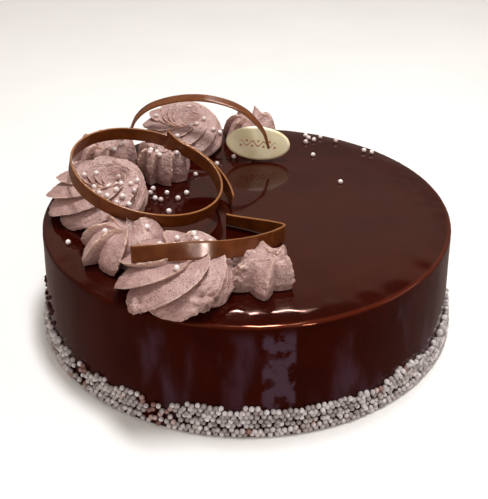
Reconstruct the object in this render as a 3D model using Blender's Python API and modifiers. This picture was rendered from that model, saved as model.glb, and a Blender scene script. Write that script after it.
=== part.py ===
"""Glazed chocolate cake with piped cream, chocolate ribbons, a plaque and sugar pearls.

Run with: blender --background --python part.py
Lengths are in metres and +Z is up. The origin is the middle of the cake's flat bottom,
and -Y is the side that the piped cream leans over at the front.
"""

import math
import random
from dataclasses import dataclass

import bmesh
import bpy
from mathutils import Vector
from mathutils.bvhtree import BVHTree

MM = 0.001
GAP = 0.3 * MM

# Driving dimensions of the cake
CAKE_HEIGHT = 56.0 * MM
CAKE_TOP_RADIUS = 100.0 * MM
CAKE_FOOT_RADIUS = 102.4 * MM
GLAZE_FOOT_RADIUS = 103.8 * MM
GLAZE_FOOT_HEIGHT = 3.0 * MM
RIM_ROUNDING = 2.0 * MM
SHOULDER_WIDTH = 9.0 * MM
SHOULDER_DROP = 0.9 * MM
RIM_HEIGHT = CAKE_HEIGHT - SHOULDER_DROP
CAKE_SEGMENTS = 56

# Sugar pearls
PEARL_RADIUS = 1.25 * MM
PEARL_SUNK = 0.5
BAND_ROWS = 5
BAND_ROW_RISE = 2.5 * MM
BAND_PEARLS_PER_ROW = 24
BAND_SEED = 7

# Piped cream
CREAM_BASE = CAKE_HEIGHT + GAP
OUTER_LEVELS = 6
INNER_LEVELS = 3
RIDGE_STEPS = (0.0, 0.32, 0.52, 0.76)
VALLEY = 0.32

# Ribbons
RIBBON_THICKNESS = 1.1 * MM
RING_WIDTH = 7.2 * MM
ARCH_WIDTH = 6.2 * MM
HOOK_WIDTH = 8.0 * MM

# Plaque
PLAQUE_WIDTH = 35.0 * MM
PLAQUE_HEIGHT = 18.5 * MM
PLAQUE_THICKNESS = 3.0 * MM
PLAQUE_LEAN = math.radians(12.0)
PLAQUE_ROLL = math.radians(-5.0)
PLAQUE_FOOT = Vector((6.3, 50.8, 56.8)) * MM


@dataclass(frozen=True)
class Cream:
    """One piped piece, in millimetres and degrees.

    The ridges start at `turn` and wind by `twist` on the way to the top. The top rim
    lies at the share `rim` of the radius, the middle inside it is sunk by `hollow`, and
    each ridge ends in a small peak there. A low `swell` makes the side steep and full.
    The top is moved by `tip` and slopes down to the front by the share `tilt`, and the
    foot reaches out by the share `reach` in the direction `reach_way`. `pearls` are
    places beside the centre.
    """

    name: str
    centre: tuple
    radius: float
    height: float
    ridges: int
    turn: float
    twist: float
    tip: tuple = (0.0, 0.0)
    rim: float = 0.55
    hollow: float = 4.0
    peak: float = 2.0
    swell: float = 0.7
    depth: float = 0.26
    reach: float = 0.0
    reach_way: float = 0.0
    tilt: float = 0.0
    pearls: tuple = ()


CREAMS = (
    Cream(
        "cream_star_back", (2.0, 77.0), 16.0, 15.0, 7, 10.0, 30.0,
        tip=(2.0, 0.0), rim=0.5, hollow=3.0, peak=2.6,
    ),
    Cream(
        "cream_rosette_back", (-36.5, 71.0), 24.5, 16.5, 7, 0.0, 230.0,
        tip=(-1.0, 3.0), rim=0.5, hollow=4.5, peak=1.2, depth=0.18, tilt=0.2,
        pearls=((-14, 1), (9, -6), (6, -9), (-1, -17), (13, -2), (18, -7)),
    ),
    Cream(
        "cream_star_inner", (-44.0, 33.0), 14.8, 16.5, 8, 20.0, 20.0,
        rim=0.62, pearls=((-2, -7), (-5, -8), (0, -9), (8, -6)),
    ),
    Cream(
        "cream_star_rim", (-75.0, 37.0), 17.0, 18.0, 8, 5.0, 25.0,
        tip=(2.0, -1.0), rim=0.6, peak=2.6, pearls=((-4, -9), (7, -9), (10, -6)),
    ),
    Cream(
        "cream_rosette_left", (-73.5, -3.0), 25.5, 17.0, 7, 44.0, 190.0,
        tip=(7.0, 3.0), rim=0.5, hollow=6.0, peak=1.0, depth=0.18, tilt=0.12,
        pearls=(
            (4, -14), (1, -10), (8, -16), (12, -12), (14, -8),
            (15, -14), (18, -6), (7, 0), (-6, 3), (-1, 8),
        ),
    ),
    Cream(
        "cream_star_left_front", (-55.5, -46.0), 20.0, 13.6, 7, 8.0, 35.0,
        tip=(2.0, 1.0), rim=0.38, hollow=2.0, peak=2.0, swell=0.75,
        pearls=((11, 0), (-6, -7)),
    ),
    Cream(
        "cream_rosette_front", (-31.0, -73.0), 25.5, 15.8, 7, 24.0, 165.0,
        tip=(7.0, 6.0), rim=0.42, hollow=4.0, peak=2.0, depth=0.2, reach=0.05, reach_way=-75.0,
        pearls=((1, 13), (-6, 8), (9, 12), (12, 9), (16, 8), (8, 15), (3, -12)),
    ),
    Cream(
        "cream_star_front_right", (5.5, -68.0), 15.0, 12.8, 6, -84.0, 8.0,
        tip=(6.5, 0.5), rim=0.52, hollow=2.0, peak=1.8, swell=0.9, depth=0.3, reach=0.15,
        reach_way=-80.0,
    ),
)

# Cream that was piped first gives way to the piece that was piped against it
GIVES_WAY = {
    "cream_star_rim": ("cream_rosette_left",),
    "cream_rosette_left": ("cream_star_left_front",),
    "cream_star_left_front": ("cream_rosette_front",),
    "cream_star_front_right": ("cream_rosette_front",),
    "cream_star_inner": ("cream_star_rim", "cream_rosette_left"),
    "cream_star_back": ("cream_rosette_back",),
}

# Pearls that lie on the glaze, in millimetres
LOOSE_PEARLS = (
    (34.5, 84), (36, 80.5), (34, 75), (39, 78), (43, 82), (51.5, 76.5), (66, 63.5), (70, 61),
    (37, 57.5), (49, 24.5), (-16, 46), (-7, 55), (-27, 33), (-48, 16.5), (-49, 12), (-46, 6),
    (-43, 4.5), (-40.5, 12), (-34.5, 6), (-30.5, 12), (-38, -7.5), (-82, -37),
)

# Glaze, cream and chocolate colours, roughness
GLAZE = ((0.028, 0.011, 0.009, 1.0), 0.12)
CREAM = ((0.40, 0.27, 0.24, 1.0), 0.75)
MILK_CHOCOLATE = ((0.15, 0.045, 0.015, 1.0), 0.3)
WHITE_CHOCOLATE = ((0.68, 0.61, 0.38, 1.0), 0.45)


def material(name, finish):
    """Return a Principled material with the given colour and roughness."""
    colour, roughness = finish
    result = bpy.data.materials.new(name)
    result.use_nodes = True
    shader = result.node_tree.nodes["Principled BSDF"]
    shader.inputs["Base Color"].default_value = colour
    shader.inputs["Roughness"].default_value = roughness
    shader.inputs["Metallic"].default_value = 0.0
    return result


def new_collection(name):
    """Return a collection linked to the scene."""
    result = bpy.data.collections.new(name)
    bpy.context.scene.collection.children.link(result)
    return result


def object_from(bm, name, collection, location=(0.0, 0.0, 0.0)):
    """Turn a bmesh into an object of the collection."""
    mesh = bpy.data.meshes.new(name)
    bm.to_mesh(mesh)
    bm.free()
    result = bpy.data.objects.new(name, mesh)
    result.location = location
    collection.objects.link(result)
    return result


def evaluated_mesh(obj):
    """Return a new mesh of the object with its modifiers applied."""
    bpy.context.view_layer.update()
    graph = bpy.context.evaluated_depsgraph_get()
    return bpy.data.meshes.new_from_object(obj.evaluated_get(graph))


def apply_modifiers(obj):
    """Replace the object's mesh by its evaluated mesh."""
    old = obj.data
    obj.data = evaluated_mesh(obj)
    obj.data.name = obj.name
    obj.modifiers.clear()
    bpy.data.meshes.remove(old)


def remove_objects(collection):
    """Remove every object of a collection and then the collection."""
    for obj in list(collection.objects):
        bpy.data.objects.remove(obj, do_unlink=True)
    bpy.data.collections.remove(collection)


def cut(obj, cutter):
    """Cut a closed object by a closed cutter."""
    modifier = obj.modifiers.new("cut", "BOOLEAN")
    modifier.operation = "DIFFERENCE"
    modifier.solver = "EXACT"
    modifier.object = cutter
    apply_modifiers(obj)


def ease(x):
    """Rise smoothly from 0 to 1."""
    x = min(max(x, 0.0), 1.0)
    return x * x * (3.0 - 2.0 * x)


def smooth_route(points, steps):
    """Return points along a Catmull-Rom curve through the given points."""
    first = points[0] * 2.0 - points[1]
    last = points[-1] * 2.0 - points[-2]
    control = [first, *points, last]
    route = []
    for index in range(1, len(control) - 2):
        before, start, end, after = control[index - 1:index + 3]
        for step in range(steps):
            t = step / steps
            route.append(
                0.5
                * (
                    2.0 * start
                    + (end - before) * t
                    + (2.0 * before - 5.0 * start + 4.0 * end - after) * t**2
                    + (3.0 * start - before - 3.0 * end + after) * t**3
                )
            )
    route.append(points[-1].copy())
    return route


# Cake body

def shoulder_height(share):
    """Return the height of the top where it slopes down towards the rim."""
    return CAKE_HEIGHT - SHOULDER_DROP * share**2


def cake_profile():
    """Return the glazed outline as (radius, height) from the top centre down to the foot."""
    rim_radius = CAKE_TOP_RADIUS - RIM_ROUNDING
    shoulder_start = rim_radius - SHOULDER_WIDTH
    outline = [(shoulder_start * share, CAKE_HEIGHT) for share in (0.0, 0.33, 0.66)]
    for share in (0.0, 0.5):
        outline.append((shoulder_start + SHOULDER_WIDTH * share, shoulder_height(share)))
    for step in range(5):
        angle = math.radians(90.0 - 22.5 * step)
        radius = rim_radius + RIM_ROUNDING * math.cos(angle)
        height = RIM_HEIGHT - RIM_ROUNDING + RIM_ROUNDING * math.sin(angle)
        outline.append((radius, height))
    band_top = BAND_ROWS * BAND_ROW_RISE + PEARL_RADIUS * 2.0
    outline.append((side_radius(band_top), band_top))
    outline.append((CAKE_FOOT_RADIUS, GLAZE_FOOT_HEIGHT))
    outline.append((GLAZE_FOOT_RADIUS, GLAZE_FOOT_HEIGHT * 0.4))
    outline.append((GLAZE_FOOT_RADIUS, 0.0))
    outline.append((0.0, 0.0))
    return outline


def make_cake(collection):
    """Turn the glazed body about the vertical axis."""
    bm = bmesh.new()
    previous = None
    for radius, height in cake_profile():
        vertex = bm.verts.new((radius, 0.0, height))
        if previous:
            bm.edges.new((previous, vertex))
        previous = vertex
    cake = object_from(bm, "cake", collection)
    screw = cake.modifiers.new("turn", "SCREW")
    screw.axis = "Z"
    screw.angle = math.tau
    screw.steps = CAKE_SEGMENTS
    screw.render_steps = CAKE_SEGMENTS
    screw.use_merge_vertices = True
    screw.merge_threshold = 0.01 * MM
    apply_modifiers(cake)
    return cake


# Sugar pearls

def add_pearl(place, collection):
    """Add one small ball to the collection."""
    bm = bmesh.new()
    bmesh.ops.create_icosphere(bm, subdivisions=1, radius=PEARL_RADIUS)
    return object_from(bm, "pearl", collection, place)


def join_pearls(obj, places):
    """Fuse a ball at each place to the object with one Boolean union."""
    balls = new_collection(obj.name + "_pearls")
    for place in places:
        add_pearl(place, balls)
    modifier = obj.modifiers.new("pearls", "BOOLEAN")
    modifier.operation = "UNION"
    modifier.solver = "EXACT"
    modifier.operand_type = "COLLECTION"
    modifier.collection = balls
    apply_modifiers(obj)
    remove_objects(balls)


def side_radius(height):
    """Return the radius of the cake's side at a height above the glaze foot."""
    rise = (height - GLAZE_FOOT_HEIGHT) / (RIM_HEIGHT - RIM_ROUNDING - GLAZE_FOOT_HEIGHT)
    return CAKE_FOOT_RADIUS + (CAKE_TOP_RADIUS - CAKE_FOOT_RADIUS) * max(rise, 0.0)


def band_places():
    """Return pearl places in staggered rows round the foot of the cake."""
    chance = random.Random(BAND_SEED)
    places = []
    for row in range(BAND_ROWS):
        height = PEARL_RADIUS + GAP + row * BAND_ROW_RISE
        radius = side_radius(height) + PEARL_RADIUS * PEARL_SUNK
        if row == 0:
            radius = GLAZE_FOOT_RADIUS + PEARL_RADIUS * PEARL_SUNK
        for number in range(BAND_PEARLS_PER_ROW):
            angle = math.tau * (number + 0.5 * (row % 2)) / BAND_PEARLS_PER_ROW
            angle += chance.uniform(-0.01, 0.01)
            place = Vector((radius * math.cos(angle), radius * math.sin(angle), height))
            places.append(place)
    return places


def loose_places():
    """Return the places of the pearls that lie on the glaze."""
    height = CAKE_HEIGHT + PEARL_RADIUS * PEARL_SUNK
    return [Vector((x * MM, y * MM, height)) for x, y in LOOSE_PEARLS]


def places_on(obj, offsets):
    """Return pearl places on top of a cream piece, found straight below each offset."""
    mesh = obj.data
    tree = BVHTree.FromPolygons([v.co for v in mesh.vertices], [p.vertices for p in mesh.polygons])
    places = []
    for x, y in offsets:
        hit = tree.ray_cast(Vector((x * MM, y * MM, CAKE_HEIGHT)), Vector((0.0, 0.0, -1.0)))
        if hit[0] is not None:
            places.append(obj.location + hit[0] + hit[1] * PEARL_RADIUS * PEARL_SUNK)
    return places


# Piped cream

def cream_outline(cream, way):
    """Return the radius share, the height share and the nearness to the rim at a way up."""
    outer_share = OUTER_LEVELS / (OUTER_LEVELS + INNER_LEVELS)
    if way <= outer_share:
        angle = math.radians(90.0) * way / outer_share
        foot = 0.93 + 0.07 * ease(way / 0.12)
        share = cream.rim + (1.0 - cream.rim) * math.cos(angle) ** cream.swell
        return share * foot, math.sin(angle), math.sin(angle) ** 4
    inward = (way - outer_share) / (1.0 - outer_share)
    sunk = cream.hollow / cream.height * math.sin(math.radians(90.0) * inward)
    return cream.rim * (1.0 - inward), 1.0 - sunk, 1.0 - ease(inward)


def ridge_wave(step):
    """Return 1 on a ridge and 0 in the valley beside it, for a share of the way between ridges."""
    if step < VALLEY:
        return 1.0 - step / VALLEY
    return ((step - VALLEY) / (1.0 - VALLEY)) ** 0.6


def cream_ring(cream, way, grow):
    """Return the star-shaped section of a cream piece at one share of the way up."""
    share, rise, near_rim = cream_outline(cream, way)
    points = []
    for ridge in range(cream.ridges):
        for step in RIDGE_STEPS:
            wave = ridge_wave(step)
            local = 360.0 * (ridge + step) / cream.ridges
            angle = math.radians(local + cream.turn + cream.twist * way)
            away = max(0.0, math.cos(angle - math.radians(cream.reach_way)))
            stretch = 1.0 + cream.reach * away * (1.0 - rise)
            groove = cream.depth * (1.0 - 0.4 * near_rim) * (1.0 - wave)
            radius = cream.radius * MM * share * (1.0 - groove) * stretch + grow
            x = radius * math.cos(angle) + cream.tip[0] * MM * way**1.5
            y = radius * math.sin(angle) + cream.tip[1] * MM * way**1.5
            peak = cream.peak * MM * (wave - 0.5) * near_rim
            level = cream.height * MM * rise + peak + cream.tilt * y * rise
            points.append(Vector((x, y, level + grow * way)))
    return points


def make_cream(cream, collection, grow=0.0):
    """Loft the turning star sections of one piece from its foot to the middle of its top."""
    levels = OUTER_LEVELS + INNER_LEVELS
    bm = bmesh.new()
    rings = []
    for level in range(levels):
        points = cream_ring(cream, level / levels, grow)
        if level == 0:
            points = [point - Vector((0.0, 0.0, grow)) for point in points]
        rings.append([bm.verts.new(point) for point in points])
    middle = (cream.height - cream.hollow + cream.tilt * cream.tip[1]) * MM + grow
    top = bm.verts.new((cream.tip[0] * MM, cream.tip[1] * MM, middle))
    count = len(rings[0])
    for lower, upper in zip(rings, rings[1:]):
        for number in range(count):
            after = (number + 1) % count
            bm.faces.new((lower[number], lower[after], upper[number]))
            bm.faces.new((lower[after], upper[after], upper[number]))
    for number in range(count):
        bm.faces.new((rings[-1][number], rings[-1][(number + 1) % count], top))
    bm.faces.new(reversed(rings[0]))
    bmesh.ops.recalc_face_normals(bm, faces=bm.faces)
    place = (cream.centre[0] * MM, cream.centre[1] * MM, CREAM_BASE)
    return object_from(bm, cream.name, collection, place)


# Ribbons

RING_CENTRE = Vector((-48.1, -2.3)) * MM
RING_RADIUS = 36.4 * MM
RING_END_TURN = 441.0
RING_STEP = 9.0
RING_SLOPE = Vector((-0.25, 0.10))
RING_LEVEL = 59.0 * MM


def ring_rails(grow):
    """Return the lower and upper edges of the tilted ring, from its end on the glaze."""
    rails = []
    upward = Vector((0.25, -0.2, 1.0)).normalized()
    steps = round(RING_END_TURN / RING_STEP)
    for step in range(steps + 1):
        turn = RING_STEP * step
        angle = math.radians(turn)
        inward = 2.4 * MM * ease((turn - 250.0) / 150.0)
        outward = 3.6 * MM * math.exp(-turn / 40.0)
        radius = RING_RADIUS + outward - inward
        x = RING_CENTRE.x + radius * math.cos(angle)
        y = RING_CENTRE.y + radius * math.sin(angle)
        level = RING_LEVEL + RING_SLOPE.x * x + RING_SLOPE.y * y
        drop = 4.3 * MM * math.exp(-((turn / 60.0) ** 2))
        lower = Vector((x, y, level - drop))
        rails.append([lower - upward * grow, lower + upward * (RING_WIDTH + grow)])
    rails[-2][1] += upward * 1.2 * MM
    rails[-1][1] += upward * 4.0 * MM
    return rails


ARCH_ROUTE = (
    (-68.0, 66.0, 57.0), (-64.5, 65.4, 67.5), (-60.2, 64.7, 76.2), (-52.5, 63.2, 82.9),
    (-41.2, 61.0, 87.4), (-30.2, 58.8, 89.6), (-19.4, 56.5, 89.8), (-8.8, 54.3, 87.8),
    (-0.8, 51.5, 84.6), (5.3, 49.0, 79.5), (9.6, 47.6, 73.6), (12.0, 46.7, 65.4),
)


def arch_rails(grow):
    """Return the near and far edges of the arch, which tapers to its right end."""
    route = smooth_route([Vector(point) * MM for point in ARCH_ROUTE], 2)
    rails = []
    for index, middle in enumerate(route):
        way = index / (len(route) - 1)
        taper = 1.0 - 0.8 * ease((way - 0.5) / 0.5) ** 2
        across = Vector((0.75 * ease((way - 0.6) / 0.4), 1.0, 0.17)).normalized()
        half = across * (ARCH_WIDTH * 0.5 * taper + grow)
        rails.append([middle + half, middle - half])
    return rails


HOOK_ROUTE = (
    (-9.7, -19.5, 56.4), (-1.0, -23.4, 56.4), (7.5, -28.0, 56.6), (14.0, -32.5, 57.0),
    (17.0, -36.0, 57.6), (15.5, -40.5, 58.6), (10.2, -50.0, 61.2), (1.3, -63.0, 66.0),
    (-11.2, -72.8, 70.0), (-23.4, -76.7, 72.0), (-35.5, -78.3, 72.2), (-47.0, -79.2, 72.0),
)


def hook_rails(grow):
    """Return the lower and upper edges of the ribbon that folds back on itself."""
    route = smooth_route([Vector(point) * MM for point in HOOK_ROUTE], 3)
    rails = []
    for index, lower in enumerate(route):
        way = index / (len(route) - 1)
        lean = -0.45 + 0.45 * ease(way / 0.35) + 0.3 * ease((way - 0.4) / 0.25)
        lean -= 0.25 * ease((way - 0.8) / 0.2)
        upward = Vector((0.0, lean, 1.0)).normalized()
        rails.append([lower - upward * grow, lower + upward * (HOOK_WIDTH + grow)])
    return rails


def make_ribbon(name, rails, thickness, collection):
    """Span a strip between two rails and give it the ribbon's thickness."""
    bm = bmesh.new()
    pairs = [[bm.verts.new(point) for point in pair] for pair in rails]
    for (low, high), (next_low, next_high) in zip(pairs, pairs[1:]):
        bm.faces.new((low, next_low, next_high, high))
    ribbon = object_from(bm, name, collection)
    solidify = ribbon.modifiers.new("thickness", "SOLIDIFY")
    solidify.thickness = thickness
    solidify.offset = 0.0
    solidify.use_even_offset = True
    apply_modifiers(ribbon)
    return ribbon


# Plaque

def make_plaque(collection):
    """Make the oval plaque, which stands on its edge and leans back."""
    bm = bmesh.new()
    bmesh.ops.create_cone(
        bm, cap_ends=True, segments=40, radius1=0.5, radius2=0.5, depth=1.0
    )
    bmesh.ops.scale(bm, verts=bm.verts, vec=(PLAQUE_WIDTH, PLAQUE_HEIGHT, PLAQUE_THICKNESS))
    plaque = object_from(bm, "plaque", collection)
    plaque.rotation_mode = "ZYX"
    plaque.rotation_euler = (math.radians(90.0) - PLAQUE_LEAN, 0.0, PLAQUE_ROLL)
    middle = Vector((0.0, math.sin(PLAQUE_LEAN), math.cos(PLAQUE_LEAN))) * PLAQUE_HEIGHT / 2.0
    plaque.location = PLAQUE_FOOT + middle
    bevel = plaque.modifiers.new("soft edge", "BEVEL")
    bevel.width = 0.8 * MM
    bevel.segments = 2
    bevel.limit_method = "ANGLE"
    bevel.angle_limit = math.radians(40.0)
    return plaque


# Assembly

def make_creams(parts, cutters, ribbons):
    """Pipe every cream piece, press it back from its neighbours and add its pearls."""
    by_name = {cream.name: cream for cream in CREAMS}
    made = []
    for cream in CREAMS:
        piece = make_cream(cream, parts)
        for neighbour in GIVES_WAY.get(cream.name, ()):
            cutter = make_cream(by_name[neighbour], cutters, GAP)
            cutter.name = "press_" + cream.name + "_" + neighbour
            cut(piece, cutter)
        for ribbon in ribbons:
            cut(piece, ribbon)
        if cream.pearls:
            bpy.context.view_layer.update()
            join_pearls(piece, places_on(piece, cream.pearls))
        made.append(piece)
    return made


def hide_cutters(cutters):
    """Show the cutters as wires and leave them out of renders."""
    for cutter in cutters.objects:
        cutter.hide_render = True
        cutter.display_type = "WIRE"


def main():
    """Build the whole cake."""
    for obj in list(bpy.data.objects):
        bpy.data.objects.remove(obj, do_unlink=True)
    parts = new_collection("chocolate_layer_cake")
    cutters = new_collection("cutters")

    glaze = material("dark_chocolate_glaze", GLAZE)
    cream_material = material("chocolate_cream", CREAM)
    milk_chocolate = material("milk_chocolate", MILK_CHOCOLATE)
    white_chocolate = material("white_chocolate", WHITE_CHOCOLATE)

    cake = make_cake(parts)
    join_pearls(cake, band_places() + loose_places())
    cake.data.materials.append(glaze)

    rails = {"ribbon_ring": ring_rails, "ribbon_arch": arch_rails, "ribbon_hook": hook_rails}
    grooves = []
    for name, edges in rails.items():
        ribbon = make_ribbon(name, edges(0.0), RIBBON_THICKNESS, parts)
        ribbon.data.materials.append(milk_chocolate)
        ribbon.parent = cake
        groove = make_ribbon("groove_" + name, edges(GAP), RIBBON_THICKNESS + 2.0 * GAP, cutters)
        grooves.append(groove)

    for piece in make_creams(parts, cutters, grooves):
        piece.data.materials.clear()
        piece.data.materials.append(cream_material)
        piece.parent = cake

    plaque = make_plaque(parts)
    plaque.data.materials.append(white_chocolate)
    plaque.parent = cake
    hide_cutters(cutters)


main()
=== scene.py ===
"""Dresses the glazed layer cake: mirror glaze, piped cream, curled chocolate, plaque and pearls.

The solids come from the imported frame. Every visible surface here is a finer mesh that
stands in the place of a solid, with the finish of the real food.
Sizes in the classes are in millimetres and angles in degrees.
"""

import logging
import math
import random
from dataclasses import dataclass
from enum import Enum
from typing import Sequence

import bmesh
import bpy
from mathutils import Matrix, Vector, noise
from mathutils.bvhtree import BVHTree


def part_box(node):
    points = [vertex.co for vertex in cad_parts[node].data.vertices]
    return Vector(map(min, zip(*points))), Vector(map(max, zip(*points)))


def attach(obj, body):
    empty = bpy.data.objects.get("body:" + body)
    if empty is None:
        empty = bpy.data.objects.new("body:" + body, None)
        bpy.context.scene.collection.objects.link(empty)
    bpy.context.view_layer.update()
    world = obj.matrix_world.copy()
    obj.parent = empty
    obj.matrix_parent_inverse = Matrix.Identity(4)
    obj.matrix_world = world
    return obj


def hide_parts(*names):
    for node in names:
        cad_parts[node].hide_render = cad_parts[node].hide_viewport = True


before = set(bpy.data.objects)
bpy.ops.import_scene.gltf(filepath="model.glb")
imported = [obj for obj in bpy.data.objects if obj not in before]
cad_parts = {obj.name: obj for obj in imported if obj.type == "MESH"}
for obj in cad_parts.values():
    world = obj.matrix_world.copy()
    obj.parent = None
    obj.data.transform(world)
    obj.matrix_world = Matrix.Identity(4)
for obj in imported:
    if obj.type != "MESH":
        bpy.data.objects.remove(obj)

LOG = logging.getLogger("cake")
MM = 0.001
BODY = "root"
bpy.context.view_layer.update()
CREAM_NODES_GAP = 0.3
CAKE_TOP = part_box("cream_star_back")[0].z / MM - CREAM_NODES_GAP

Node = bpy.types.Node
Socket = bpy.types.NodeSocket
Material = bpy.types.Material
Piece = bpy.types.Object


class Slot(Enum):
    """The record's finishes."""

    GLAZE = "glaze"
    CREAM = "cream"
    MILK_CHOCOLATE = "milk_chocolate"
    WHITE_CHOCOLATE = "white_chocolate"


class PearlCoat(Enum):
    """A pearl's coat with its light and dark tone: lit on top, darker on the band as painted shade,
    or stained by glaze.
    """

    # One sugar in a lit copy and a painted-shade copy; the stained coat is real glaze stain.
    LIT = ("#F6EAE6", "#C9B3AE")
    CLEAN = ("#DCD4D4", "#948784")
    STAINED = ("#C9B0AB", "#84564C")


# Small helpers


def linear(hex_colour: str) -> tuple[float, float, float, float]:
    """Turn an sRGB hex colour into linear values.

    Args:
        hex_colour: A colour such as "#2E0803".

    Returns:
        Red, green, blue and an alpha of 1.
    """
    values = []
    for start in (1, 3, 5):
        share = int(hex_colour[start:start + 2], 16) / 255.0
        low = share / 12.92
        high = ((share + 0.055) / 1.055) ** 2.4
        values.append(low if share <= 0.04045 else high)
    return values[0], values[1], values[2], 1.0


def ease(x: float) -> float:
    """Rise smoothly from 0 to 1."""
    x = min(max(x, 0.0), 1.0)
    return x * x * (3.0 - 2.0 * x)


def fade(x: float, start: float, over: float) -> float:
    """Rise smoothly from 0 at `start` to 1 after a stretch `over`."""
    return ease((x - start) / over)


def rough(point: Vector, size: float, seed: float) -> float:
    """Return smooth noise from -1 to 1 whose bumps are about `size` millimetres apart."""
    return noise.noise(point * (1.0 / size) + Vector((seed, 2.0 * seed, -seed)))


def polar(radius: float, angle: float, level: float) -> Vector:
    """Return a point at an angle in radians round the cake's axis."""
    return Vector((radius * math.cos(angle), radius * math.sin(angle), level))


def smooth_route(points: Sequence[Vector], steps: int) -> list[Vector]:
    """Return points along a Catmull-Rom curve through the given points.

    Args:
        points: The points that the curve goes through.
        steps: How many points are made for each stretch.

    Returns:
        The points of the curve, with both ends.
    """
    first = points[0] * 2.0 - points[1]
    last = points[-1] * 2.0 - points[-2]
    control = [first, *points, last]
    route = []
    for index in range(1, len(control) - 2):
        before, start, end, after = control[index - 1:index + 3]
        for step in range(steps):
            t = step / steps
            bend = 2.0 * before - 5.0 * start + 4.0 * end - after
            turn = 3.0 * start - before - 3.0 * end + after
            route.append(0.5 * (2.0 * start + (end - before) * t + bend * t**2 + turn * t**3))
    route.append(points[-1].copy())
    return route


def rounds(count: int) -> list[tuple[int, int]]:
    """Return the places round a closed ring, each with the one after it."""
    return [(number, (number + 1) % count) for number in range(count)]


def new_object(name: str, data: bpy.types.ID) -> Piece:
    """Put a new object into the scene."""
    obj = bpy.data.objects.new(name, data)
    bpy.context.scene.collection.objects.link(obj)
    return obj


def new_mesh(name: str, points: Sequence[Vector], faces: Sequence) -> bpy.types.Mesh:
    """Make a mesh from points in millimetres."""
    mesh = bpy.data.meshes.new(name)
    mesh.from_pydata([point * MM for point in points], [], faces)
    return mesh


def piece_from(
    name: str,
    points: Sequence[Vector],
    faces: Sequence[Sequence[int]],
    material: Material,
    slot: Slot,
    replaced: Sequence[str] = (),
) -> Piece:
    """Make a smooth-shaded mesh object that rides on the cake.

    Args:
        name: The piece's name.
        points: Its points in millimetres.
        faces: Its faces as indices of the points.
        material: Its finish.
        slot: The record's slot that the finish belongs to; not used.
        replaced: The nodes that it stands for.

    Returns:
        The new object.
    """
    mesh = new_mesh(name, points, faces)
    mesh.validate()
    mesh.shade_smooth()
    mesh.materials.append(material)
    obj = new_object(name, mesh)
    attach(obj, BODY)
    if replaced:
        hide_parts(*replaced)
    LOG.info("%s: %d faces", name, len(mesh.polygons))
    return obj


def note(piece: Piece, name: str, values: Sequence[float]) -> None:
    """Store a number for every point of a piece, which its finish reads by name."""
    attribute = piece.data.attributes.new(name, "FLOAT", "POINT")
    attribute.data.foreach_set("value", values)


def cut(piece: Piece, cutter: Piece) -> None:
    """Cut a closed mesh by another closed mesh."""
    modifier = piece.modifiers.new("cut", "BOOLEAN")
    modifier.operation = "DIFFERENCE"
    modifier.solver = "MANIFOLD"
    modifier.object = cutter
    bpy.context.view_layer.update()
    graph = bpy.context.evaluated_depsgraph_get()
    old = piece.data
    piece.data = bpy.data.meshes.new_from_object(piece.evaluated_get(graph))
    piece.modifiers.clear()
    bpy.data.meshes.remove(old)


# Shader nodes


def feed(tree: bpy.types.NodeTree, node: Node, inputs: dict) -> None:
    """Link a node's inputs to sockets, or set them to numbers and colours.

    Args:
        tree: The nodes of a material or of the world.
        node: The node that is fed.
        inputs: Sockets, numbers or colours by the input's name or index.
    """
    for name, value in inputs.items():
        if isinstance(value, Socket):
            tree.links.new(value, node.inputs[name])
        else:
            node.inputs[name].default_value = value


def add_node(
    tree: bpy.types.NodeTree,
    kind: str,
    inputs: dict,
    stops: Sequence[tuple[float, str]] = (),
    **settings: object,
) -> Node:
    """Add a shader node.

    Args:
        tree: The nodes of a material or of the world.
        kind: The node's type, such as "TexNoise".
        inputs: Sockets, numbers or colours for its inputs, by name or index.
        stops: A ramp's stops, each a position and a hex colour, in order.
        settings: Attributes of the node.

    Returns:
        The new node.
    """
    node = tree.nodes.new("ShaderNode" + kind)
    for name, value in settings.items():
        setattr(node, name, value)
    feed(tree, node, inputs)
    if stops:
        elements = node.color_ramp.elements
        for position, colour in stops[1:-1]:
            elements.new(position).color = linear(colour)
        for index in (0, -1):
            elements[index].position = stops[index][0]
            elements[index].color = linear(stops[index][1])
    return node


def new_material(name: str) -> tuple[Material, bpy.types.NodeTree, Socket]:
    """Start a material.

    Args:
        name: The material's name.

    Returns:
        The material, its nodes and the place on the object.
    """
    material = bpy.data.materials.new(name)
    material.use_nodes = True
    tree = material.node_tree
    return material, tree, add_node(tree, "TexCoord", {}).outputs["Object"]


def spaced(spacing: float) -> float:
    """Return the scale of a pattern whose parts are `spacing` millimetres apart."""
    return 1.0 / (spacing * MM)


# Finishes


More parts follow.
